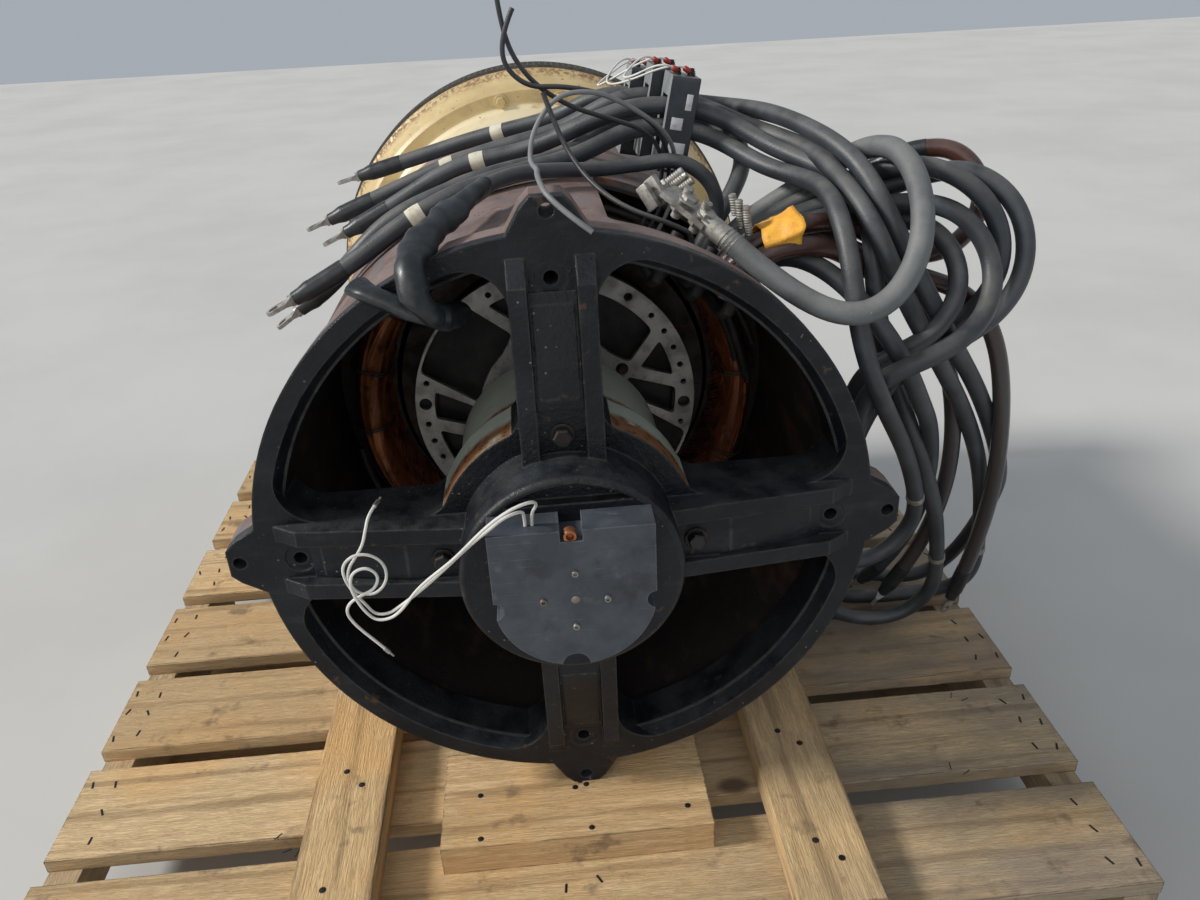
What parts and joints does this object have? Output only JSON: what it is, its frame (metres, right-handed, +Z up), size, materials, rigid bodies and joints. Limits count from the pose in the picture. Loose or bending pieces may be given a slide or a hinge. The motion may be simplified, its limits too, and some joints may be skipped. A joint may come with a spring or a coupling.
{
  "type": "generator end on a timber pallet",
  "caption": "Alternator end of a generating set with an open four-arm end bracket and output leads, standing on a timber pallet with its shaft free to turn.",
  "frame": {"origin": "on the ground under the middle of the object's length and width, cords left out", "axes": "+Y along the shaft towards the engine end, +Z up, the open end bracket faces -Y"},
  "size_m": [1.219, 1.2234, 0.9952],
  "materials": {
    "pallet_timber": "rough sawn, weathered",
    "packing_timber": "rough sawn, bruised",
    "black_casting": "worn satin paint",
    "dark_plastic": "scuffed satin",
    "green_paint": "satin with rust at the edge",
    "rusty_paint": "red oxide, dusty and rusty",
    "laminations": "varnished steel sheet",
    "copper_winding": "varnished copper coils",
    "cream_paint": "aged gloss paint with rust",
    "screen_steel": "perforated sheet",
    "bare_steel": "oiled, light rust",
    "ring_alloy": "dull cast light alloy",
    "black_varnish": "matt varnish",
    "transformer_case": "moulded plastic",
    "tinned_metal": "dull tin plating",
    "black_cable": "dusty rubber sleeve",
    "brown_cable": "glossy sleeve",
    "grey_cable": "pale dusty sleeve",
    "white_wire": "plain insulation"
  },
  "bodies": {
    "generator": {"deck_boards": "pallet_timber", "stringers": "pallet_timber", "bottom_boards": "pallet_timber", "rail_left": "packing_timber", "rail_right": "packing_timber", "front_block": "packing_timber", "rear_shim": "packing_timber", "end_bracket": "black_casting", "end_cover": "dark_plastic", "exciter_housing": "green_paint", "stator_shell": "rusty_paint", "stator_core": "laminations", "front_winding": "copper_winding", "rear_winding": "copper_winding", "lead_bundle": "black_varnish", "engine_adapter": "cream_paint", "vent_screen": "screen_steel", "ct_front": "transformer_case", "ct_middle": "transformer_case", "ct_back": "transformer_case", "cable_lugs": "tinned_metal", "grey_connector": "tinned_metal", "lead_a": "black_cable", "lead_b": "black_cable", "lead_c": "black_cable", "lead_d": "black_cable", "lead_e": "black_cable", "lead_f": "black_cable", "lead_g": "black_cable", "brown_1": "brown_cable", "brown_2": "brown_cable", "brown_3": "brown_cable", "grey": "grey_cable", "wire_1": "black_cable", "wire_2": "black_cable", "wire_3": "black_cable", "wire_4": "black_cable", "white_1": "white_wire", "white_2": "white_wire"},
    "rotor": {"shaft": "bare_steel", "balance_ring": "ring_alloy", "rotor_end_disc": "black_varnish", "rotor_core": "laminations", "fan": "ring_alloy", "coupling_discs": "bare_steel"}
  },
  "joints": [
    {"name": "rotor_spin", "type": "hinge", "parent": "generator", "child": "rotor", "pos_m": [0.0163, -0.4217, 0.4988], "axis": [0, 1, 0], "continuous": true}
  ]
}
